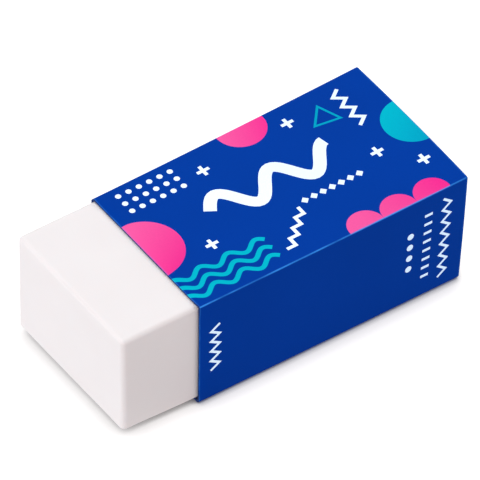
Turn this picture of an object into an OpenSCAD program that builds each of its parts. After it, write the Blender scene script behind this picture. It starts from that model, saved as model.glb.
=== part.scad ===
// Block eraser: a soft white block that slides in a folded and glued card sleeve.
// Millimetres, +Z up. X runs along the block, with its bare nose at the -X end.
// The sleeve's underside lies at z = 0, and the origin is below the centre of the whole.

/* [Block] */
// Length of the block, from the bare nose to the covered end
block_len = 43; // [30:0.5:70]
// Width of the block
block_w = 19.2; // [12:0.1:30]
// Height of the block
block_h = 13; // [8:0.1:20]
// Radius of the block's softly rounded edges
block_edge_r = 0.6; // [0.5:0.1:2]

/* [Sleeve] */
// Length of the sleeve along the block
sleeve_len = 33.8; // [12:0.2:60]
// How far the sleeve stands past the block's covered end
end_overhang = 0.2; // [0.1:0.1:2]
// Thickness of the card
card_t = 0.28; // [0.15:0.01:0.6]
// Clearance between the block and the card, on each side
card_gap = 0.07; // [0.03:0.01:0.3]
// Inside radius of the folds
fold_r = 0.16; // [0.05:0.01:0.5]

/* [Lap seam] */
// How far the glued flap, which lies inside on the bottom panel, stops short of the front panel
flap_short = 3.3; // [0.6:0.1:6]
// How far the bottom panel's free edge lies in from the back panel
lap_edge_in = 0.7; // [0.5:0.1:1.5]

/* [Hidden] */

// Facets of the round edges in the preview
round_fn = 48;
// Lets a cutting shape run past the face that it cuts
cut_extra = 1;

// Space inside the sleeve
inner_w = block_w + 2 * card_gap;
inner_h = block_h + 2 * card_gap;
total_len = block_len + end_overhang;
nose_x = -total_len / 2;
sleeve_end_x = total_len / 2;

// The sleeve's inside faces in its cross-section, which has Y across and Z up.
// The bottom has two layers of card: the bottom panel, and the flap glued on it.
front_y = -inner_w / 2;
back_y = inner_w / 2;
floor_z = 2 * card_t;
roof_z = floor_z + inner_h;

// Rectangle with round corners, from its lowest corner
module round_rect(w, h, r) {
    translate([r, 0]) square([w - 2 * r, h]);
    translate([0, r]) square([w, h - 2 * r]);
    for (y = [r, w - r], z = [r, h - r])
        translate([y, z]) circle(r = r, $fn = round_fn);
}

// Box with every edge rounded: three round-cornered bars, one along each axis, meet in it
module round_box(len_x, len_y, len_z, r) {
    intersection() {
        rotate([90, 0, 90]) linear_extrude(len_x) round_rect(len_y, len_z, r);
        translate([0, len_y, 0]) rotate([90, 0, 0]) linear_extrude(len_y) round_rect(len_x, len_z, r);
        linear_extrude(len_z) round_rect(len_x, len_y, r);
    }
}

// Flat panel of card in the cross-section, from one corner to the opposite one
module panel(from, to) {
    translate(from) square(to - from);
}

// Quarter-round fold about a centre, in the quadrant that starts at the turn angle
module fold(centre, turn) {
    translate(centre) rotate(turn) intersection() {
        difference() {
            circle(r = fold_r + card_t, $fn = round_fn);
            circle(r = fold_r, $fn = round_fn);
        }
        square(fold_r + card_t + cut_extra);
    }
}

// The card's path round the block: bottom, front, top and back panels, then the glued flap
module sleeve_profile() {
    panel([front_y + fold_r, 0], [back_y - lap_edge_in, card_t]);
    fold([front_y + fold_r, card_t + fold_r], 180);
    panel([front_y - card_t, card_t + fold_r], [front_y, roof_z - fold_r]);
    fold([front_y + fold_r, roof_z - fold_r], 90);
    panel([front_y + fold_r, roof_z], [back_y - fold_r, roof_z + card_t]);
    fold([back_y - fold_r, roof_z - fold_r], 0);
    panel([back_y, floor_z + fold_r], [back_y + card_t, roof_z - fold_r]);
    fold([back_y - fold_r, floor_z + fold_r], 270);
    panel([front_y + flap_short, card_t], [back_y - fold_r, floor_z]);
}

// Soft white block, rounded all over, clear of the card on every side
module eraser_block() {
    color([0.96, 0.95, 0.95])
        translate([nose_x, front_y + card_gap, floor_z + card_gap])
            round_box(block_len, block_w, block_h, block_edge_r);
}

// Printed card sleeve, one folded strip glued along its underside
module card_sleeve() {
    color([0.0, 0.24, 0.65])
        translate([sleeve_end_x - sleeve_len, 0, 0])
            rotate([90, 0, 90]) linear_extrude(sleeve_len) sleeve_profile();
}

eraser_block();
card_sleeve();
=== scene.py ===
"""A small block eraser: a soft white vinyl block in a folded and printed card sleeve.

Lengths inside the classes are millimetres, and each mesh is scaled to metres as it is made. The sleeve is
first laid out flat, as a blank with its print on it, and is then folded round the block.
"""
import logging
import math
from collections.abc import Sequence
from dataclasses import dataclass, field
from enum import Enum

import bpy
from bpy.types import ID, Material, Node, NodeSocket, NodeTree, Object
from mathutils import Matrix, Vector, noise
from mathutils.geometry import delaunay_2d_cdt


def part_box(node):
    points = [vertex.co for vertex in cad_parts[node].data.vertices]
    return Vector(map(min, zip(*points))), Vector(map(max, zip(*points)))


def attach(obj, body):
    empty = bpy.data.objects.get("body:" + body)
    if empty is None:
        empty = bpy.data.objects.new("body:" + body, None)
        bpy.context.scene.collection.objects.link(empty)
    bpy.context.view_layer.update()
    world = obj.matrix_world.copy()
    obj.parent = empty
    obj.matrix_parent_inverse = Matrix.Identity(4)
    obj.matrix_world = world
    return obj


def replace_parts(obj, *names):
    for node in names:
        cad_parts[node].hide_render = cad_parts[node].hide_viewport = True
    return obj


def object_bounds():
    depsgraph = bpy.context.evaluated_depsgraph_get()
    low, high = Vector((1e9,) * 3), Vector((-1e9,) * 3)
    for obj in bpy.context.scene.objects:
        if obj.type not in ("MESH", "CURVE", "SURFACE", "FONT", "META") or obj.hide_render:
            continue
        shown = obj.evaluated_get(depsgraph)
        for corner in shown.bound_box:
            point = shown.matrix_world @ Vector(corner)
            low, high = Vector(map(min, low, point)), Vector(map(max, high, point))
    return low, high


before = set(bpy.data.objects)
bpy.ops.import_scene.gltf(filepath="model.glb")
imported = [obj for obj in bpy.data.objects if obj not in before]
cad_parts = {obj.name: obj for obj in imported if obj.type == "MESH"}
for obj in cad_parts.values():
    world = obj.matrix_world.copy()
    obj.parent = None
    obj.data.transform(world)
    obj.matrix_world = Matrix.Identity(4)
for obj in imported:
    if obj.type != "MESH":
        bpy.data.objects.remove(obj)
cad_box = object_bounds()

MM = 0.001
NEAR = 1e-5  # Places that are closer than this, in millimetres, count as the same
SHARPEST_MITRE = 0.35  # The cosine of half the turn at which a stripe's corner gets no longer
WAVE_STEPS = 24  # Straight lengths in each period of a wave
OWN_PLACE = "own_place"
INK_COLOUR = "ink_colour"
ROUNDNESS = "roundness"

Point = tuple[float, float]
Triple = tuple[float, float, float]
Colour = Triple
Outline = list[Point]
Faces = list[list[int]]
Value = NodeSocket | float | tuple[float, ...]
Span = tuple[Value, Value]
Inputs = dict[str | int, Value]
Names = tuple[str, ...]
Sockets = bpy.types.bpy_prop_collection

log = logging.getLogger("eraser")


def from_screen(red: int, green: int, blue: int) -> Colour:
    """Turns a screen colour, with channels from 0 to 255, into linear light by the standard screen curve."""
    shares = [channel / 255 for channel in (red, green, blue)]
    return tuple(c / 12.92 if c <= 0.04045 else ((c + 0.055) / 1.055) ** 2.4 for c in shares)


def between(ends: Point, share: float) -> float:
    """Returns the number that lies a share of the way from the first end to the second."""
    return ends[0] + (ends[1] - ends[0]) * share


# ---- Shader nodes ----


class Graph:
    """Adds nodes to one tree and joins them. A plain number can stand wherever a socket can."""

    def __init__(self, tree: NodeTree) -> None:
        """Starts with the tree emptied."""
        self.tree = tree
        tree.nodes.clear()

    def feed(self, socket: NodeSocket, value: Value) -> None:
        """Joins an output to an input, or sets the input's own value.

        Args:
            socket: The input.
            value: Another node's output, or a number, vector or colour.
        """
        if isinstance(value, NodeSocket):
            self.tree.links.new(value, socket)
        elif isinstance(value, tuple) and socket.type == "RGBA":
            socket.default_value = (*value, 1.0)
        else:
            socket.default_value = value

    def node(self, kind: str, inputs: Inputs | None = None, **settings: object) -> Node:
        """Adds one node.

        Args:
            kind: The shader node's type name.
            inputs: What goes into each input, by name or by index.
            **settings: The node's own settings.

        Returns:
            The new node.
        """
        made = self.tree.nodes.new(f"ShaderNode{kind}")
        for name, value in settings.items():
            setattr(made, name, value)
        for name, value in (inputs or {}).items():
            self.feed(made.inputs[name], value)
        return made

    def math(self, operation: str, first: Value, second: Value = 0.0, third: Value = 0.0) -> NodeSocket:
        """Returns what an operation, such as MULTIPLY, makes of its values."""
        return self.node("Math", {0: first, 1: second, 2: third}, operation=operation).outputs[0]

    def vary(self, value: Value, by: Value, middle: Value) -> NodeSocket:
        """Returns a value multiplied by one number and added to another."""
        return self.math("MULTIPLY_ADD", value, by, middle)

    def noise(self, vector: Value, size: Value, detail: float = 3.0) -> NodeSocket:
        """Returns a pattern round 0.5, of that size and with that many finer layers."""
        scale = self.math("DIVIDE", 1.0, size)
        return self.node("TexNoise", {"Vector": vector, "Scale": scale, "Detail": detail}).outputs[0]

    def span(self, value: Value, ends: Span, onto: Span = (0.0, 1.0), smooth: bool = False) -> NodeSocket:
        """Maps one span of a value onto another and holds it there, easing in and out where it is smooth."""
        settings = {"interpolation_type": "SMOOTHSTEP" if smooth else "LINEAR", "clamp": True}
        return self.node("MapRange", dict(enumerate((value, *ends, *onto))), **settings).outputs[0]

    def mix(self, share: Value, first: Value, second: Value) -> NodeSocket:
        """Returns the first colour with a share of the second mixed in."""
        return self.node("Mix", {0: share, 6: first, 7: second}, data_type="RGBA").outputs[2]

    def attribute(self, name: str) -> Sockets:
        """Returns the outputs that read one of the mesh's own attributes."""
        return self.node("Attribute", attribute_name=name).outputs


class Effect(Enum):
    """The effects that the materials are built from."""

    GRAIN = "surface_grain"
    WEAR = "edge_wear"
    MOTTLE = "soft_mottle"
    SPECKS = "fine_specks"


class Effects:
    """Builds each effect once, as a node group that any material can place with its own values."""

    def __init__(self) -> None:
        """Builds all the groups."""
        self.groups: dict[Effect, NodeTree] = {}
        for build in (self._grain, self._wear, self._mottle, self._specks):
            build()

    def _group(self, effect: Effect, takes: Names, gives: Names) -> tuple[Graph, Sockets, Sockets]:
        """Starts a node group.

        Args:
            effect: The effect that it makes.
            takes: What goes in: Place is a vector, and the others are numbers.
            gives: The numbers that come out.

        Returns:
            The group's graph, its sockets with what goes in, and those for what comes out.
        """
        tree = self.groups[effect] = bpy.data.node_groups.new(effect.value, "ShaderNodeTree")
        for way, labels in (("INPUT", takes), ("OUTPUT", gives)):
            for label in labels:
                kind = "NodeSocketVector" if label == "Place" else "NodeSocketFloat"
                tree.interface.new_socket(label, in_out=way, socket_type=kind)
        graph = Graph(tree)
        return graph, tree.nodes.new("NodeGroupInput").outputs, tree.nodes.new("NodeGroupOutput").inputs

    def _grain(self) -> None:
        """Builds a grain with a finer one in it, longer along the first axis where Stretch is above 1."""
        fineness, fine_share = 0.31, 0.35
        graph, takes, gives = self._group(Effect.GRAIN, ("Place", "Size", "Stretch"), ("Shade", "Height"))
        x, y, z = graph.node("SeparateXYZ", {0: takes["Place"]}).outputs
        along = graph.math("DIVIDE", x, takes["Stretch"])
        place = graph.node("CombineXYZ", {0: along, 1: y, 2: z}).outputs[0]
        coarse = graph.noise(place, takes["Size"], detail=4.0)
        fine = graph.noise(place, graph.math("MULTIPLY", takes["Size"], fineness), detail=2.0)
        height = graph.vary(fine, fine_share, graph.math("MULTIPLY", coarse, 1 - fine_share))
        graph.feed(gives["Height"], height)
        graph.feed(gives["Shade"], graph.math("SUBTRACT", height, 0.5))

    def _wear(self) -> None:
        """Builds a Mask that fades away from an edge and is broken up along it, for worn ink and for painted
        shade and highlights at edges.
        """
        labels = ("Place", "Distance", "Reach", "Patch Size", "Amount")
        graph, takes, gives = self._group(Effect.WEAR, labels, ("Mask",))
        near = graph.span(takes["Distance"], (0.0, takes["Reach"]), (1.0, 0.0), smooth=True)
        patches = graph.span(graph.noise(takes["Place"], takes["Patch Size"]), (0.32, 0.62), (0.25, 1.0))
        mask = graph.math("MULTIPLY", graph.math("MULTIPLY", near, patches), takes["Amount"])
        graph.feed(gives["Mask"], mask)

    def _mottle(self) -> None:
        """Builds soft, broad patches whose Shade lies from -1 to 1."""
        graph, takes, gives = self._group(Effect.MOTTLE, ("Place", "Size"), ("Shade",))
        broad = graph.noise(takes["Place"], takes["Size"], detail=2.0)
        graph.feed(gives["Shade"], graph.span(broad, (0.3, 0.7), (-1.0, 1.0)))

    def _specks(self) -> None:
        """Builds small scattered specks whose Mask is 1 in the middle of each."""
        labels = ("Place", "Spacing", "Speck Size", "Share")
        graph, takes, gives = self._group(Effect.SPECKS, labels, ("Mask",))
        scale = graph.math("DIVIDE", 1.0, takes["Spacing"])
        cells = graph.node("TexVoronoi", {"Vector": takes["Place"], "Scale": scale}).outputs
        reach = graph.math("DIVIDE", takes["Speck Size"], takes["Spacing"])
        blob = graph.span(cells["Distance"], (0.0, reach), (1.0, 0.0), smooth=True)
        chance = graph.node("SeparateColor", {0: cells["Color"]}).outputs[0]
        chosen = graph.math("LESS_THAN", chance, takes["Share"])
        graph.feed(gives["Mask"], graph.math("MULTIPLY", blob, chosen))


class Coat(Graph):
    """The graph of one new material, with the mesh's own place and the shared effects at hand."""

    def __init__(self, name: str, effects: Effects) -> None:
        """Makes the material.

        Args:
            name: Its name.
            effects: The shared effects.
        """
        self.material = bpy.data.materials.new(name)
        self.material.use_nodes = True
        super().__init__(self.material.node_tree)
        self.groups = effects.groups
        self.place = self.attribute(OWN_PLACE)["Vector"]

    def effect(self, effect: Effect, **inputs: Value) -> Sockets:
        """Places an effect, with inputs named as its sockets are, and returns its outputs."""
        values = {"Place": self.place} | {label.replace("_", " "): value for label, value in inputs.items()}
        return self.node("Group", values, node_tree=self.groups[effect]).outputs

    def bump(self, height: Value, depth: float) -> NodeSocket:
        """Returns the normals of a relief whose height lies from 0 to 1 and is so many millimetres deep."""
        return self.node("Bump", {"Strength": 1.0, "Distance": depth * MM, "Height": height}).outputs[0]

    def shaded(self, inputs: Inputs) -> Material:
        """Returns the material, with those inputs in its one Principled shader."""
        self.node("OutputMaterial", {"Surface": self.node("BsdfPrincipled", inputs).outputs[0]})
        return self.material


@dataclass(frozen=True)
class WhiteVinyl:
    """Soft white vinyl: matt, slightly translucent, with a fine skin, a few specks and painted shade on its
    rounded edges.
    """

    name: str = "white_vinyl_matt"
    tone: Colour = from_screen(248, 245, 246)
    # A darker tone for random patches, and painted shade that dims the rounded edges' highlight.
    patch_and_painted_edge_tone: Colour = from_screen(238, 233, 233)
    speck_tone: Colour = from_screen(206, 196, 194)
    speck_strength: float = 0.45
    glow_depth: float = 0.6

    def material(self, effects: Effects) -> Material:
        """Builds the material.

        Args:
            effects: The shared effects.

        Returns:
            The material.
        """
        coat = Coat(self.name, effects)
        mottle = coat.effect(Effect.MOTTLE, Size=6.5)["Shade"]
        grain = coat.effect(Effect.GRAIN, Size=0.22, Stretch=1.0)
        specks = coat.effect(Effect.SPECKS, Spacing=1.9, Speck_Size=0.11, Share=0.35)["Mask"]
        flatness = coat.math("SUBTRACT", 1.0, coat.attribute(ROUNDNESS)["Fac"])
        # The rounded edges are darkened: painted shade that dims their highlight.
        painted_edge_shade = coat.effect(Effect.WEAR, Distance=flatness, Reach=1.0, Patch_Size=2.2, Amount=0.5)["Mask"]
        colour = coat.mix(coat.vary(mottle, by=0.1, middle=0.1), self.tone, self.patch_and_painted_edge_tone)
        colour = coat.mix(painted_edge_shade, colour, self.patch_and_painted_edge_tone)
        colour = coat.mix(coat.math("MULTIPLY", specks, self.speck_strength), colour, self.speck_tone)
        rough = coat.vary(grain["Shade"], by=0.3, middle=0.58)
        return coat.shaded({
            "Base Color": colour,
            "Roughness": coat.vary(mottle, by=0.05, middle=rough),
            "Normal": coat.bump(coat.vary(specks, by=-0.8, middle=grain["Height"]), depth=0.006),
            "Specular IOR Level": 0.25,
            "Subsurface Weight": 0.2,
            "Subsurface Radius": (1.0, 0.85, 0.8),
            "Subsurface Scale": self.glow_depth * MM,
        })


@dataclass(frozen=True)
class PrintedFace:
    """The sleeve's printed side: smooth coated card, lighter blue at the folds and cut edges, partly ink
    rubbed thin and partly a painted highlight.

    Its own place runs along the sleeve, then round it. Where the ink is white it glows a little bluish:
    painted light, standing for the light that the card's brightener gives back.
    """

    length: float
    folds: tuple[float, ...]
    name: str = "card_printed_side"
    # Light blue at the folds and cut edges: worn ink, and a painted highlight.
    patch_and_painted_edge_tone: Colour = from_screen(60, 156, 255)
    painted_glow_tint: Colour = (0.02, 0.57, 1.0)
    painted_glow_strength: float = 0.35

    def material(self, effects: Effects) -> Material:
        """Builds the material.

        Args:
            effects: The shared effects.

        Returns:
            The material.
        """
        coat = Coat(self.name, effects)
        along, around, _ = coat.node("SeparateXYZ", {0: coat.place}).outputs
        cut = coat.math("MINIMUM", along, coat.math("SUBTRACT", self.length, along))
        crease, *others = [coat.math("ABSOLUTE", coat.math("SUBTRACT", around, fold)) for fold in self.folds]
        for other in others:
            crease = coat.math("MINIMUM", crease, other)
        # Lighter blue along the folds and cut edges: rubbed ink, and a painted highlight on the rounded fold
        # and cut edges.
        fold_wear_and_highlight = coat.effect(Effect.WEAR, Distance=crease, Reach=0.14, Patch_Size=3.5, Amount=1.0)["Mask"]
        cut_wear_and_highlight = coat.effect(Effect.WEAR, Distance=cut, Reach=0.22, Patch_Size=1.4, Amount=0.56)["Mask"]
        wear_and_painted_highlight = coat.math("MAXIMUM", fold_wear_and_highlight, cut_wear_and_highlight)
        grain = coat.effect(Effect.GRAIN, Size=0.16, Stretch=2.4)
        density = coat.vary(coat.effect(Effect.MOTTLE, Size=9.0)["Shade"], by=0.025, middle=1.0)
        density = coat.vary(grain["Shade"], by=0.16, middle=density)
        inputs = {0: coat.attribute(INK_COLOUR)["Color"], "Scale": density}
        laid = coat.node("VectorMath", inputs, operation="SCALE").outputs[0]
        red, green, _ = coat.node("SeparateColor", {0: laid}).outputs
        # Where the ink is white, a bluish glow is painted in as emission.
        white = coat.span(coat.math("MINIMUM", red, green), (0.5, 0.8))
        rough = coat.vary(grain["Shade"], by=0.25, middle=0.38)
        return coat.shaded({
            "Base Color": coat.mix(wear_and_painted_highlight, laid, self.patch_and_painted_edge_tone),
            "Roughness": coat.vary(wear_and_painted_highlight, by=0.4, middle=rough),
            "Normal": coat.bump(grain["Height"], depth=0.0022),
            "Emission Color": coat.mix(white, (0.0, 0.0, 0.0), self.painted_glow_tint),
            "Emission Strength": self.painted_glow_strength,
            "Specular IOR Level": 0.012,
        })


@dataclass(frozen=True)
class RawCard:
    """The sleeve's uncoated inside: grey-white board with visible fibres, darkened near its cut edges by
    painted shade of the narrow gap round the block.
    """

    length: float
    name: str = "card_raw_side"
    tone: Colour = from_screen(205, 202, 195)
    fibre_tone: Colour = from_screen(172, 167, 158)
    # Dark navy near the cut edges: painted shade of the gap between card and block.
    painted_gap_shade_tone: Colour = from_screen(14, 26, 62)
    painted_gap_shade_fade: Point = (0.35, 0.8)

    def material(self, effects: Effects) -> Material:
        """Builds the material.

        Args:
            effects: The shared effects.

        Returns:
            The material.
        """
        coat = Coat(self.name, effects)
        fibres = coat.effect(Effect.GRAIN, Size=0.2, Stretch=5.0)
        mottle = coat.effect(Effect.MOTTLE, Size=4.0)["Shade"]
        colour = coat.mix(coat.span(fibres["Shade"], (-0.15, 0.2), (0.0, 0.8)), self.tone, self.fibre_tone)
        colour = coat.mix(coat.vary(mottle, by=0.12, middle=0.12), colour, self.fibre_tone)
        along = coat.node("SeparateXYZ", {0: coat.place}).outputs[0]
        cut = coat.math("MINIMUM", along, coat.math("SUBTRACT", self.length, along))
        # Painted shade: the inside turns dark navy close to the cut edges.
        painted_gap_shade = coat.span(cut, self.painted_gap_shade_fade, (0.95, 0.0), smooth=True)
        return coat.shaded({
            "Base Color": coat.mix(painted_gap_shade, colour, self.painted_gap_shade_tone),
            "Roughness": coat.vary(fibres["Shade"], by=0.2, middle=0.85),
            "Normal": coat.bump(fibres["Height"], depth=0.012),
            "Specular IOR Level": 0.2,
        })


@dataclass(frozen=True)
class CutCard:
    """The cut edge of the card: its pressed layers, dark navy, partly blue ink stain and partly painted shade
    of the thin cut face.
    """

    name: str = "card_cut_edge"
    # Dark navy: ink stain, darkened further by painted shade.
    tone: Colour = from_screen(44, 70, 134)
    layer_tone: Colour = from_screen(24, 42, 92)
    layering: Triple = (1.0, 1.0, 9.0)

    def material(self, effects: Effects) -> Material:
        """Builds the material.

        Args:
            effects: The shared effects.

        Returns:
            The material.
        """
        coat = Coat(self.name, effects)
        layers = coat.node("VectorMath", {0: coat.place, 1: self.layering}, operation="MULTIPLY").outputs[0]
        grain = coat.effect(Effect.GRAIN, Place=layers, Size=0.5, Stretch=1.0)
        return coat.shaded({
            "Base Color": coat.mix(coat.span(grain["Shade"], (-0.12, 0.12)), self.tone, self.layer_tone),
            "Roughness": coat.vary(grain["Shade"], by=0.2, middle=0.85),
            "Normal": coat.bump(grain["Height"], depth=0.01),
            "Specular IOR Level": 0.1,
        })


# ---- Print ----


class Ink(Enum):
    """The printed colours, each from its first tone to its second."""

    BLUE = (from_screen(1, 62, 166),) * 2
    WHITE = (from_screen(253, 252, 254), from_screen(246, 246, 254))
    PINK = (from_screen(255, 96, 172), from_screen(250, 48, 152))
    TURQUOISE = (from_screen(0, 192, 214), from_screen(0, 168, 204))


@dataclass(frozen=True)
class Figure:
    """One printed shape, with its ink blended from one point to another, between the folds it stops at."""

    ink: Ink
    outline: Outline
    blend: tuple[Point, Point] = ((0.0, 0.0), (1.0, 0.0))
    limits: Point = (-math.inf, math.inf)

    def colour(self, at: Point) -> Colour:
        """Finds the ink's colour.

        Args:
            at: A point of the blank.

        Returns:
            The linear colour there.
        """
        start, end = map(Vector, self.blend)
        share = (Vector(at) - start).dot(end - start) / (end - start).length_squared
        first, second = map(Vector, self.ink.value)
        return tuple(first.lerp(second, min(max(share, 0.0), 1.0)))

    def laid(self, middle: Point, limits: Point) -> "Figure":
        """Returns the figure as it lies on the blank, from its panel's middle and the folds beside it."""
        moved = [[(middle[0] + x, middle[1] + y) for x, y in line] for line in (self.outline, self.blend)]
        return Figure(self.ink, *moved, limits)

    def shows(self, at: Point) -> bool:
        """Returns whether a point lies between the folds that the figure stops at."""
        return self.limits[0] < at[1] < self.limits[1]


def polygon(centre: Point, radius: float, corners: int, turn: float = 90.0) -> Outline:
    """Draws a regular polygon whose first corner lies at that turn, in degrees."""
    angles = [math.radians(turn + 360 * k / corners) for k in range(corners)]
    return [(centre[0] + radius * math.cos(a), centre[1] + radius * math.sin(a)) for a in angles]


def disc(centre: Point, radius: float) -> Outline:
    """Draws a disc, with more corners the bigger it is."""
    return polygon(centre, radius, max(8, round(16 + 10 * radius)), 0.0)


def ribbon(line: list[Point], width: float) -> Outline:
    """Draws a stripe of even width along a line, mitred at its corners.

    Args:
        line: The middle line's points.
        width: The stripe's width.

    Returns:
        The outline.
    """
    points = [Vector(p) for p in line]
    ways = [(b - a).normalized() for a, b in zip(points, points[1:])]
    left, right = [], []
    for point, before, after in zip(points, ways[:1] + ways, ways + ways[-1:]):
        side = Vector((-(before + after).y, (before + after).x)).normalized()
        reach = width / 2 / max(SHARPEST_MITRE, side.dot(Vector((-after.y, after.x))))
        left.append(tuple(point + side * reach))
        right.append(tuple(point - side * reach))
    return [*right, *reversed(left)]


def swung(start: Point, end: Point, swings: list[float]) -> list[Point]:
    """Lays out a line whose points swing to its side.

    Args:
        start: Where it starts.
        end: Where it ends.
        swings: How far each of its evenly spaced points swings to the left.

    Returns:
        The line's points.
    """
    a, b = Vector(start), Vector(end)
    side = Vector((-(b - a).y, (b - a).x)).normalized()
    last = len(swings) - 1
    return [tuple(a.lerp(b, k / last) + side * swing) for k, swing in enumerate(swings)]


def wave(start: Point, end: Point, height: float, periods: float) -> list[Point]:
    """Lays out a sine line of so many periods that swings so high to each side."""
    steps = round(WAVE_STEPS * periods)
    return swung(start, end, [height * math.sin(math.tau * periods * k / steps) for k in range(steps + 1)])


def zigzag(start: Point, end: Point, height: float, strokes: int) -> list[Point]:
    """Lays out a line that goes to and fro in so many straight strokes."""
    return swung(start, end, [height * (-1) ** k for k in range(strokes + 1)])


def stairs(start: Point, step: float, count: int) -> list[Point]:
    """Lays out a line of equal steps up from its start."""
    return [(start[0] + step * ((k + 1) // 2), start[1] + step * (k // 2)) for k in range(2 * count + 1)]


def hollow(outline: Outline, width: float) -> list[Outline]:
    """Draws a polygon's rim.

    Args:
        outline: The polygon.
        width: The rim's width at its corners.

    Returns:
        One stripe for each side.
    """
    middle = sum((Vector(p) for p in outline), Vector((0, 0))) / len(outline)
    inner = [tuple(Vector(p) + (middle - Vector(p)).normalized() * width) for p in outline]
    return [[outline[k - 1], outline[k], inner[k], inner[k - 1]] for k in range(len(outline))]


def plus(centre: Point, size: float, width: float) -> list[Outline]:
    """Draws a plus sign as two crossed bars."""
    x, y, half = *centre, size / 2
    return [ribbon([(x - a, y - b), (x + a, y + b)], width) for a, b in ((half, 0.0), (0.0, half))]


def dots(corner: Point, columns: int, rows: int, spacing: float, radius: float) -> list[Outline]:
    """Draws a grid of dots from its first one, with its columns along the sleeve."""
    steps = [(spacing * i, spacing * j) for i in range(columns) for j in range(rows)]
    return [disc((corner[0] + x, corner[1] + y), radius) for x, y in steps]


@dataclass(frozen=True)
class SleevePrint:
    """The sleeve's decoration. Each panel's figures are laid out from that panel's own middle."""

    length: float
    top_width: float
    thin: float = 0.4
    band: float = 0.55

    def top(self) -> list[Figure]:
        """Lays out the top panel.

        Returns:
            Its figures, the lowest layer first.
        """
        end, side = self.length / 2, self.top_width / 2
        sun = Figure(Ink.PINK, disc((-end, 0.3), 4.3), ((-end, 3.5), (-end + 4.0, -3.0)))
        moon = Figure(Ink.TURQUOISE, disc((end, 0.2), 3.3), ((end - 3.4, 2.0), (end, -3.0)))
        half_sun = Figure(Ink.PINK, disc((1.6, side), 2.9), ((-1.2, side), (4.4, side - 2.4)))
        lines = [wave((-end - 1, y), (-end + 11.2, y), 0.5, 3.5) for y in (-5.4, -6.8, -8.2)]
        water = [Figure(Ink.TURQUOISE, ribbon(line, self.band)) for line in lines]
        slope = ((4.0, -side), (14.0, -side + 2.0))
        scallops = [Figure(Ink.PINK, disc((x, -side), 2.1), slope) for x in (4.2, 8.4, 12.6)]
        rim = hollow(polygon((9.7, 5.8), 2.0, 3, 200.0), self.band)
        triangle = [Figure(Ink.TURQUOISE, stripe) for stripe in rim]

        squiggle = ribbon(wave((-8.0, 1.2), (7.6, 1.2), 1.75, 2.25), 1.4)
        diamonds = [polygon((1.0 + 1.15 * k, -3.1), 0.46, 4) for k in range(7)]
        grid = dots((-14.6, 5.9), 6, 3, 1.3, 0.33)
        teeth = ribbon(zigzag((12.6, 8.4), (12.6, 2.6), 0.55, 7), self.thin)
        flight = ribbon(stairs((-4.6, -7.9), 1.1, 4), self.thin)
        marks = [(-5.2, 6.6), (6.0, 7.3), (11.2, -1.6), (14.6, -5.2), (-10.6, -2.9)]
        bars = [bar for mark in marks for bar in plus(mark, 1.5, self.thin)]
        white = [Figure(Ink.WHITE, outline) for outline in (squiggle, *diamonds, *grid, teeth, flight, *bars)]
        return [sun, moon, half_sun, *water, *scallops, *triangle, *white]

    def front(self) -> list[Figure]:
        """Lays out the front panel.

        Returns:
            Its figures.
        """
        end = self.length / 2
        near_teeth = ribbon(zigzag((-end + 2.0, -3.0), (-end + 2.0, 3.3), 0.55, 9), 0.3)
        column = dots((end - 7.0, -2.2), 1, 4, 1.5, 0.4)
        heights = [-4.2 + 1.2 * k for k in range(8)]
        dashes = [ribbon([(end - 5.3, y), (end - 4.3, y)], 0.34) for y in heights]
        far_teeth = ribbon(zigzag((end - 2.5, -5.4), (end - 2.5, 5.4), 0.5, 14), 0.28)
        return [Figure(Ink.WHITE, outline) for outline in (near_teeth, *column, *dashes, far_teeth)]


# ---- Card sleeve ----


class Panel(Enum):
    """The sleeve's panels, in order along the card."""

    BOTTOM = 0
    FRONT = 1
    TOP = 2
    BACK = 3
    FLAP = 4


@dataclass(frozen=True)
class Stretch:
    """One flat panel, or one quarter-round fold, of the card in its cross-section, with Y across and Z up.

    A panel's origin is its outer face's first point. A fold's is the centre of its outer face, and each unit
    of depth brings that centre nearer to the block by the inward vector, and the radius down by the shrink.
    """

    start: float
    length: float
    origin: Vector
    heading: float
    radius: float = 0.0
    inward: Vector = Vector((0.0, 0.0))
    shrink: float = 1.0

    def at(self, distance: float, depth: float) -> Vector:
        """Finds a point in the card.

        Args:
            distance: How far round the outer face it is.
            depth: How deep in the card it is.

        Returns:
            The point.
        """
        gone = distance - self.start
        heading = self.heading - (gone / self.radius if self.radius else 0.0)
        outward = Vector((-math.sin(heading), math.cos(heading)))
        if self.radius:
            return self.origin + self.inward * depth + outward * (self.radius - self.shrink * depth)
        return self.origin + Vector((math.cos(heading), math.sin(heading))) * gone - outward * depth


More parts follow.
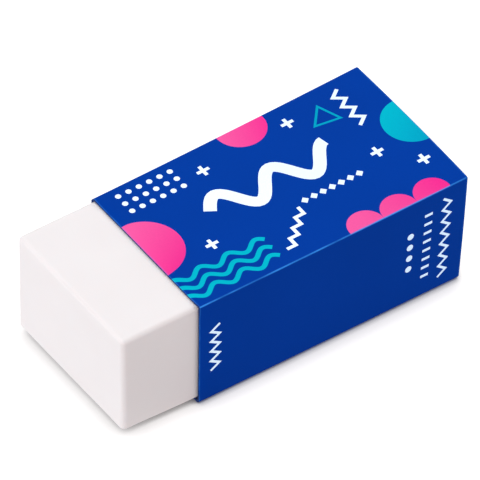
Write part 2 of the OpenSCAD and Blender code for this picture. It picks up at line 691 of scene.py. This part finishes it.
@dataclass
class CardSleeve:
    """The printed sleeve: one strip of card folded round the block, its flap glued inside the bottom panel.

    Places on the blank are (along, around): along the sleeve from its near cut edge, and round it from the
    bottom panel's free edge, through the front, top and back panels, to the flap's free edge. Each bend has
    its outer and inner radius, and the pairs for bow, rise and spread are for the near and the far end.
    """

    low: Vector
    high: Vector
    card: float
    bends: tuple[Point, ...] = ((0.5, 0.22), (0.22, 0.06), (0.52, 0.24), (0.44, 0.16))
    lap_edge_in: float = 0.7
    flap_short: float = 3.3
    glue: float = 0.02
    cut_round: float = 0.05
    cut_turns: Triple = (30, 60, 90)
    fold_steps: int = 8
    cell: float = 1.6
    top_bow: Point = (0.03, 0.2)
    side_bow: float = 0.06
    rise: Point = (-0.035, 0.2)
    spread: Point = (-0.055, 0.35)
    front_ease: float = 0.13
    hug: float = 0.14
    hug_reach: float = 0.7
    press: float = 0.15
    press_reach: float = 1.2
    firm_reach: float = 1.8
    press_steps: int = 4
    skew: float = 1.0
    short: float = 0.06
    mouth_lean: Point = (-0.1, 0.04)
    name: str = "card_sleeve_folded"
    stretches: list[Stretch] = field(default_factory=list, init=False)

    def __post_init__(self) -> None:
        """Lays the card's path round the block, panel by panel."""
        front, back, roof = self.low.y - self.front_ease, self.high.y, self.high.z
        bottom, lap = self.low.z, self.low.z + self.card + self.glue
        corners = [(front, bottom), (front, roof), (back, roof), (back, lap)]
        inwards = [Vector(way) for way in ((1, 1), (1, -1), (-1, -1), (-1, 1))]
        centres = [Vector(corner) + way * bend[0] for corner, way, bend in zip(corners, inwards, self.bends)]
        free_edge = Vector((back - self.card - self.lap_edge_in, bottom))
        panels = [
            (free_edge, free_edge.x - centres[0].x),
            ((front, centres[0].y), centres[1].y - centres[0].y),
            ((centres[1].x, roof), centres[2].x - centres[1].x),
            ((back, centres[2].y), centres[2].y - centres[3].y),
            ((centres[3].x, lap), centres[3].x - front - self.card - self.flap_short),
        ]
        start, heading = 0.0, math.pi
        for index, (origin, length) in enumerate(panels):
            self.stretches.append(Stretch(start, length, Vector(origin), heading))
            start += length
            if index < len(centres):
                outside, inside = self.bends[index]
                step = (self.card + inside - outside) / self.card
                round_it = (centres[index], heading, outside, inwards[index] * step, 1 - step)
                self.stretches.append(Stretch(start, outside * math.pi / 2, *round_it))
                start += outside * math.pi / 2
                heading -= math.pi / 2

    @property
    def length(self) -> float:
        """Returns the sleeve's length along the block."""
        return self.high.x - self.low.x

    @property
    def width(self) -> float:
        """Returns the blank's whole width, round the sleeve."""
        return self.stretches[-1].start + self.stretches[-1].length

    @property
    def folds(self) -> tuple[float, ...]:
        """Returns where the middle of each fold lies, round the blank."""
        return tuple(s.start + s.length / 2 for s in self.stretches if s.radius)

    def panel(self, which: Panel) -> Stretch:
        """Returns one flat panel."""
        return self.stretches[2 * which.value]

    def middle(self, which: Panel) -> Point:
        """Returns the middle of a panel, on the blank."""
        return self.length / 2, self.panel(which).start + self.panel(which).length / 2

    def _spring(self, along: float, around: float, true: Vector) -> Vector:
        """Finds how far the card stands off its true place, because it is springy and folded by hand.

        Args:
            along: How far along the sleeve it is.
            around: How far round it.
            true: Its true place.

        Returns:
            The shift.
        """
        share = along / self.length
        height = (true.z - self.low.z) / (self.high.z - self.low.z)
        across = (true.y - self.low.y) / (self.high.y - self.low.y)
        skewed = self.skew * (1 - height) * (1 - across)
        forward = between(self.mouth_lean, height) * (1 - share) - (self.short + skewed) * share
        sideways = between(self.spread, share**2) * across
        shift = Vector((forward, sideways, between(self.rise, share**2) * height))
        off = min(abs(around - self.folds[2]) / self.hug_reach, 1.0)
        pull = self.hug * (1 - share) ** 2 * math.cos(math.pi / 2 * off) ** 2 * math.sqrt(0.5)
        shift -= Vector((0.0, pull, pull))
        bows = {
            Panel.TOP: Vector((0, 0, between(self.top_bow, share))),
            Panel.FRONT: Vector((0, -self.side_bow, 0)),
            Panel.BACK: Vector((0, self.side_bow, 0)),
        }
        for which, bow in bows.items():
            stretch = self.panel(which)
            across = 2 * (around - stretch.start) / stretch.length - 1
            if abs(across) < 1:
                shift += bow * (1 - across**2)
        return shift

    def fold(self, along: float, around: float, depth: float) -> Vector:
        """Carries a point of the flat blank to its place on the folded sleeve.

        Args:
            along: The place along the sleeve.
            around: The place round it.
            depth: How deep in the card it lies, from the printed side.

        Returns:
            The point.
        """
        within = [s for s in self.stretches if around <= s.start + s.length + NEAR]
        folds = [s for s in within if s.radius and s.start - NEAR <= around]
        panels = [s for s in within if not s.radius]
        soft = min(min(abs(around - middle) for middle in self.folds) / self.firm_reach, 1.0)
        sunk = self.press * max(0.0, 1 - along / self.press_reach) ** 2 * soft**2
        depth = sunk + depth * (1 - sunk / self.card)
        true = Vector((self.low.x + along, *(folds or panels or self.stretches[-1:])[0].at(around, depth)))
        return true + self._spring(along, around, true)

    def _lattice(self) -> tuple[list[float], list[float]]:
        """Chooses the blank's rows and columns, close together where the card bends or is pressed.

        Returns:
            The places along it, and the places round it.
        """
        first, last = self.cut_round, self.length - self.cut_round
        pressed = first + self.press_reach
        count = round((last - pressed) / self.cell)
        columns = [first + self.press_reach * k / self.press_steps for k in range(self.press_steps)]
        columns += [pressed + (last - pressed) * k / count for k in range(count + 1)]
        rows = []
        for stretch in self.stretches:
            steps = self.fold_steps if stretch.radius else max(2, round(stretch.length / self.cell))
            rows += [stretch.start + stretch.length * k / steps for k in range(steps)]
        rows[0] = self.cut_round
        return columns, [*rows, self.width - self.cut_round]

    def _figures(self) -> list[Figure]:
        """Puts the print in its place on the blank.

        Returns:
            Its figures, after one that covers the whole blank.
        """
        near, far, top = self.cut_round, self.length - self.cut_round, self.width - self.cut_round
        figures = [Figure(Ink.BLUE, [(near, near), (far, near), (far, top), (near, top)])]
        art = SleevePrint(self.length, self.panel(Panel.TOP).length)
        for which, drawn in ((Panel.TOP, art.top()), (Panel.FRONT, art.front())):
            limits = self.folds[which.value - 1 : which.value + 1]
            figures += [figure.laid(self.middle(which), limits) for figure in drawn]
        return figures

    def _flat_faces(self) -> tuple[list[Point], list[tuple[list[int], Figure]]]:
        """Cuts the flat blank into triangles that follow the lattice, the folds and every figure's outline.

        Returns:
            The corners, and each triangle with the figure that shows there.
        """
        figures = self._figures()
        columns, rows = self._lattice()
        points = [Vector((x, y)) for y in rows for x in columns]
        folds = [s for s in self.stretches if s.radius]
        edges = []
        for index, row in enumerate(rows):
            if any(s.start <= row <= s.start + s.length + NEAR for s in folds):
                first = index * len(columns)
                edges += [(k, k + 1) for k in range(first, first + len(columns) - 1)]
        outlines = []
        for figure in figures:
            ring = figure.outline
            area = sum(a[0] * b[1] - b[0] * a[1] for a, b in zip(ring, ring[1:] + ring[:1]))
            outlines.append(list(range(len(points), len(points) + len(ring))))
            points += [Vector(p) for p in (ring if area > 0 else ring[::-1])]
        corners, _, faces, _, _, sources = delaunay_2d_cdt(points, edges, outlines, 0, NEAR, True)
        kept = []
        for face, source in zip(faces, sources):
            middle = sum((corners[k] for k in face), Vector((0, 0))) / len(face)
            if 0 in source:
                kept.append((list(face), figures[max(k for k in source if figures[k].shows(middle))]))
        return [tuple(c) for c in corners], kept

    def build(self, materials: list[Material]) -> Object:
        """Builds the sleeve as one closed mesh: its printed side, its raw side, and a rounded cut edge.

        Args:
            materials: The printed side's, the raw side's and the cut edge's materials.

        Returns:
            The sleeve.
        """
        flat, printed = self._flat_faces()
        used = sorted({k for face, _ in printed for k in face})
        renumber = {old: new for new, old in enumerate(used)}
        count = len(used)
        places = [(*flat[k], depth) for depth in (0.0, self.card) for k in used]
        outer = [[renumber[k] for k in face] for face, _ in printed]
        faces = outer + [[k + count for k in reversed(face)] for face in outer]
        slots = [0] * len(outer) + [1] * len(outer)
        colours = [figure.colour(places[k][:2]) for face, (_, figure) in zip(outer, printed) for k in face]

        turns = [math.radians(turn) for turn in self.cut_turns]
        arc = [(self.cut_round * math.sin(a), self.cut_round * (1 - math.cos(a))) for a in turns]
        profile = arc + [(out, self.card - depth) for out, depth in reversed(arc)]
        directed = {edge for face in outer for edge in zip(face, face[1:] + face[:1])}
        rim = sorted((a, b) for a, b in directed if (b, a) not in directed)
        ladders, near = {}, self.cut_round + NEAR
        for corner in sorted({k for edge in rim for k in edge}):
            x, y, _ = places[corner]
            way = [(c > size - near) - (c < near) for c, size in ((x, self.length), (y, self.width))]
            ladders[corner] = [corner, *range(len(places), len(places) + len(profile)), corner + count]
            places += [(x + way[0] * out, y + way[1] * out, depth) for out, depth in profile]
        for a, b in rim:
            for k in range(len(profile) + 1):
                faces.append([ladders[b][k], ladders[a][k], ladders[a][k + 1], ladders[b][k + 1]])
                slots.append(2)
        sleeve = add_piece(self.name, [self.fold(*place) for place in places], faces, materials)
        give(sleeve, OWN_PLACE, "FLOAT_VECTOR", [c for place in places for c in place])
        colours += [(1.0, 1.0, 1.0)] * (len(sleeve.data.loops) - len(colours))
        give(sleeve, INK_COLOUR, "FLOAT_COLOR", [c for colour in colours for c in (*colour, 1.0)], "CORNER")
        sleeve.data.polygons.foreach_set("material_index", slots)
        return sleeve


# ---- Vinyl block ----


@dataclass
class EraserBlock:
    """The white block: a bar with every edge softly rounded and faces that aren't quite flat.

    Each of its dips has its depth as a share of the unevenness, how close it lies to the next, and how much
    it differs from face to face.
    """

    low: Vector
    high: Vector
    edge: Triple = (0.6, 0.6, 0.45)
    round_steps: int = 5
    cell: float = 1.2
    unevenness: float = 0.03
    dips: tuple[Triple, ...] = ((0.5, 0.13, 2.0), (0.25, 0.7, 5.0))
    bare: float = 9.4
    sink: float = 0.02
    sag: float = 0.25
    sag_width: float = 3.2
    widening: float = 0.04
    nose_lean: float = 0.08
    lift: float = 0.06
    end_lean: float = 1.0
    end_reach: float = 8.0
    name: str = "eraser_block_vinyl"
    corners: dict[tuple[float, ...], tuple[int, Vector, float]] = field(default_factory=dict, init=False)

    def _stations(self, axis: int) -> list[Point]:
        """Chooses the grid lines across one axis.

        Args:
            axis: 0, 1 or 2.

        Returns:
            For each line, its place on the core inside the rounding, and how far it leans out, from -1 to 1.
        """
        start, end = self.low[axis] + self.edge[axis], self.high[axis] - self.edge[axis]
        leans = [math.tan(math.pi / 4 * k / self.round_steps) for k in range(self.round_steps, 0, -1)]
        count = max(2, round((end - start) / self.cell))
        flat = [(start + (end - start) * k / count, 0.0) for k in range(count + 1)]
        return [(start, -lean) for lean in leans] + flat + [(end, lean) for lean in reversed(leans)]

    def _point(self, core: Vector, lean: Vector) -> Vector:
        """Finds a point of the surface, a little inside the true bar where its face dips.

        The soft block sinks a little inside the sleeve, its lower front edge sags between the sleeve's front
        and its flap, its bare nose is lifted a little, and its covered end isn't cut quite square.

        Args:
            core: The place on the core inside the rounding.
            lean: The direction out from it.

        Returns:
            The point.
        """
        outward = lean.normalized()
        dip = 0.0
        for share, scale, turn in self.dips:
            dip += self.unevenness * share * (1 + noise.noise(core * scale + outward * turn))
        point = core + outward * (Vector(self.edge) - Vector((dip, dip, dip)))
        size = self.high - self.low
        back, height = (point.y - self.low.y) / size.y, (point.z - self.low.z) / size.z
        held = min((point.x - self.low.x) / self.bare, 1.0)
        held *= held * (3 - 2 * held)
        front = max(0.0, 1 - (point.y - self.low.y) / self.sag_width)
        ended = max(0.0, 1 - (self.high.x - point.x) / self.end_reach)
        forward = self.nose_lean * (1 - held) * (1 - back) - self.end_lean * ended * (1 - height) * (1 - back)
        sag = self.sag * held * front * (3 - 2 * front) * front * max(0.0, 1 - height) ** 2
        lift = self.lift * (1 - held) * (1 - height)
        return point + Vector((forward, -self.widening * (1 - back), lift - sag - self.sink * held * height))

    def _corner(self, axis: int, side: int, first: Point, second: Point) -> int:
        """Finds one grid corner, and makes it when it is first met.

        Args:
            axis: The axis that its face looks along.
            side: Which way it looks, 1 or -1.
            first: The line across the next axis.
            second: The line across the one after.

        Returns:
            The corner's number.
        """
        core, lean = Vector((0, 0, 0)), Vector((0, 0, 0))
        core[axis] = self.high[axis] - self.edge[axis] if side > 0 else self.low[axis] + self.edge[axis]
        lean[axis] = side
        for step, (place, out) in enumerate((first, second), 1):
            core[(axis + step) % 3], lean[(axis + step) % 3] = place, out
        key = tuple(round(c, 4) for c in (*core, *lean.normalized()))
        if key not in self.corners:
            roundness = max(abs(first[1]), abs(second[1]))
            self.corners[key] = (len(self.corners), self._point(core, lean), roundness)
        return self.corners[key][0]

    def build(self, material: Material) -> Object:
        """Builds the block as one closed mesh.

        Args:
            material: Its material.

        Returns:
            The block.
        """
        lines = [self._stations(axis) for axis in range(3)]
        faces = []
        for axis in range(3):
            across, up = lines[(axis + 1) % 3], lines[(axis + 2) % 3]
            for side in (-1, 1):
                for i in range(len(across) - 1):
                    for j in range(len(up) - 1):
                        ring = [(i, j), (i + 1, j), (i + 1, j + 1), (i, j + 1)][::side]
                        faces.append([self._corner(axis, side, across[a], up[b]) for a, b in ring])
        _, points, roundness = zip(*self.corners.values())
        block = add_piece(self.name, points, faces, [material])
        give(block, OWN_PLACE, "FLOAT_VECTOR", [c for point in points for c in point])
        give(block, ROUNDNESS, "FLOAT", roundness)
        return block


# ---- Mesh helpers ----


def add_object(name: str, data: ID) -> Object:
    """Adds an object with that mesh or camera to the scene."""
    made = bpy.data.objects.new(name, data)
    bpy.context.scene.collection.objects.link(made)
    return made


def add_piece(name: str, points: Sequence[Vector], faces: Faces, materials: list[Material]) -> Object:
    """Adds a piece whose flat faces shade flat and whose rounded edges shade round.

    Args:
        name: Its name.
        points: Its points, in millimetres.
        faces: Its faces, as lists of point numbers.
        materials: Its materials, by slot.

    Returns:
        The piece, in metres.
    """
    mesh = bpy.data.meshes.new(name)
    mesh.from_pydata([p * MM for p in points], [], faces)
    mesh.validate()
    mesh.shade_smooth()
    for material in materials:
        mesh.materials.append(material)
    piece = add_object(name, mesh)
    shading = piece.modifiers.new("flat_faces_first", "WEIGHTED_NORMAL")
    shading.mode, shading.weight = "FACE_AREA", 100
    return piece


def give(piece: Object, name: str, kind: str, numbers: Sequence[float], domain: str = "POINT") -> None:
    """Gives a piece's mesh an attribute, from all its numbers in a row."""
    field_name = {"FLOAT_VECTOR": "vector", "FLOAT_COLOR": "color"}.get(kind, "value")
    piece.data.attributes.new(name, kind, domain).data.foreach_set(field_name, numbers)


# ---- Studio ----


@dataclass(frozen=True)
class Lobe:
    """A soft patch of light in the tent: where it is, how tight it is, how bright, and its tint."""

    towards: Triple
    tightness: float
    strength: float
    tint: Colour = (1.0, 1.0, 1.0)


@dataclass(frozen=True)
class LightTent:
    """A white tent of light all round, brighter overhead, at the nose end and at the far end."""

    ambient: Colour = (0.165, 0.153, 0.155)
    lobes: tuple[Lobe, ...] = (
        Lobe((0.0, 0.0, 1.0), 4.0, 0.27, (0.86, 1.0, 1.0)),
        Lobe((-1.0, 0.05, 0.2), 2.0, 1.71, (1.0, 0.985, 1.0)),
        Lobe((0.1, -1.0, 0.1), 2.0, 0.37, (1.0, 0.67, 0.63)),
        Lobe((0.7, 0.2, 0.8), 3.0, 1.16),
        Lobe((0.3, 1.0, 0.6), 3.0, 0.21),
    )

    def build(self) -> None:
        """Builds the world, plain white where the camera sees it."""
        world = bpy.context.scene.world = bpy.data.worlds.new("light_tent")
        world.use_nodes = True
        graph = Graph(world.node_tree)
        direction = graph.node("TexCoord").outputs["Generated"]
        light: Value = self.ambient
        for lobe in self.lobes:
            inputs = {0: direction, 1: tuple(Vector(lobe.towards).normalized())}
            facing = graph.node("VectorMath", inputs, operation="DOT_PRODUCT").outputs[1]
            falloff = graph.math("POWER", graph.math("MAXIMUM", facing, 0.0), lobe.tightness)
            inputs = {0: falloff, 1: tuple(lobe.strength * channel for channel in lobe.tint), 2: light}
            light = graph.node("VectorMath", inputs, operation="MULTIPLY_ADD").outputs[0]
        seen = graph.node("LightPath").outputs["Is Camera Ray"]
        tent = graph.node("Background", {"Color": light})
        plain = graph.node("Background", {"Color": (1.0, 1.0, 1.0)})
        mixed = graph.node("MixShader", {0: seen, 1: tent.outputs[0], 2: plain.outputs[0]})
        graph.node("OutputWorld", {"Surface": mixed.outputs[0]})


@dataclass(frozen=True)
class ContactShade:
    """One soft shadow that the floor has close to an object.

    It reaches so far, counts the open sky round the lean, and gets darker the higher its depth is. The floor
    is fully lit where at least the lit share of that sky is open.
    """

    reach: float
    lean: Triple
    depth: float
    lit: float = 1.0


@dataclass(frozen=True)
class StudioFloor:
    """A plain white floor that looks fully lit, with a soft shadow close to whatever meets it."""

    half_size: float = 3.0
    drop: float = 0.02
    shades: tuple[ContactShade, ...] = (
        ContactShade(0.7, (-0.8, 0.15, 0.58), 1.0),
        ContactShade(2.9, (-0.8, 0.15, 0.58), 0.8),
        ContactShade(1.5, (0.0, 0.0, 1.0), 1.2, 0.52),
    )
    glow: float = 0.9
    bounce: float = 0.42
    tint: Colour = (1.0, 0.983, 0.977)
    albedo: float = 0.4
    name: str = "studio_floor"

    def build(self) -> None:
        """Builds the floor. It glows for the camera, and gives the underside of things a little light."""
        half, z = self.half_size, -self.drop * MM
        mesh = bpy.data.meshes.new(self.name)
        corners = [(-half, -half, z), (half, -half, z), (half, half, z), (-half, half, z)]
        mesh.from_pydata(corners, [], [(0, 1, 2, 3)])
        material = bpy.data.materials.new("pale_floor")
        material.use_nodes = True
        graph = Graph(material.node_tree)
        light: Value = self.glow
        for shade in self.shades:
            inputs = {"Distance": shade.reach * MM, "Normal": tuple(Vector(shade.lean).normalized())}
            sky = graph.node("AmbientOcclusion", inputs, samples=16).outputs["AO"]
            share = graph.math("MINIMUM", graph.math("DIVIDE", sky, shade.lit), 1.0)
            light = graph.math("MULTIPLY", light, graph.math("POWER", share, shade.depth))
        ray = graph.node("LightPath").outputs
        seen = graph.math("MULTIPLY", light, ray["Is Camera Ray"])
        strength = graph.vary(ray["Is Diffuse Ray"], by=self.bounce, middle=seen)
        glow = graph.node("Emission", {"Color": self.tint, "Strength": strength})
        lit = graph.node("BsdfDiffuse", {"Color": (self.albedo,) * 3})
        both = graph.node("AddShader", {0: glow.outputs[0], 1: lit.outputs[0]})
        graph.node("OutputMaterial", {"Surface": both.outputs[0]})
        mesh.materials.append(material)
        floor = add_object(self.name, mesh)


@dataclass(frozen=True)
class Viewpoint:
    """The camera: a long lens, from the front left and well above."""

    azimuth: float = -34.48
    elevation: float = 44.35
    distance: float = 1.5
    lens: float = 1083.7
    aim_right: float = -0.18
    aim_up: float = 1.32
    clip: Point = (0.01, 10.0)
    name: str = "viewpoint"

    def build(self, centre: Vector) -> None:
        """Builds the camera.

        Args:
            centre: The object's middle, in metres.
        """
        turn, tilt = math.radians(self.azimuth), math.radians(self.elevation)
        back = Vector((math.sin(turn) * math.cos(tilt), -math.cos(turn) * math.cos(tilt), math.sin(tilt)))
        right = Vector((0, 0, 1)).cross(back).normalized()
        up = back.cross(right)
        lens = bpy.data.cameras.new(self.name)
        lens.lens = self.lens
        lens.clip_start, lens.clip_end = self.clip
        camera = add_object(self.name, lens)
        place = centre + right * self.aim_right * MM + up * self.aim_up * MM + back * self.distance
        camera.matrix_world = Matrix.Translation(place) @ Matrix((right, up, back)).transposed().to_4x4()
        bpy.context.scene.camera = camera


# ---- Assembly ----


def report(piece: Object) -> None:
    """Logs a piece's name and how many triangles it has."""
    triangles = sum(len(face.vertices) - 2 for face in piece.data.polygons)
    log.info("%s: %d triangles", piece.name, triangles)


def main() -> None:
    """Builds the block, the sleeve and the studio, in that order."""
    logging.basicConfig(level=logging.INFO, format="%(name)s: %(message)s")
    bpy.context.scene.view_settings.view_transform = "Standard"
    effects = Effects()

    block_low, block_high = (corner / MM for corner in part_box("eraser_block"))
    sleeve_low, sleeve_high = (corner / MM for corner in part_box("card_sleeve"))
    card = (block_low.z - sleeve_low.z) - (sleeve_high.z - block_high.z)

    block = EraserBlock(block_low, block_high).build(WhiteVinyl().material(effects))
    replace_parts(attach(block, "block"), "eraser_block")
    report(block)

    folded = CardSleeve(sleeve_low, sleeve_high, card)
    finishes = (PrintedFace(folded.length, folded.folds), RawCard(folded.length), CutCard())
    sleeve = folded.build([finish.material(effects) for finish in finishes])
    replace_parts(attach(sleeve, "sleeve"), "card_sleeve")
    report(sleeve)

    LightTent().build()
    StudioFloor().build()
    Viewpoint().build((cad_box[0] + cad_box[1]) / 2)


if __name__ == "__main__":
    main()
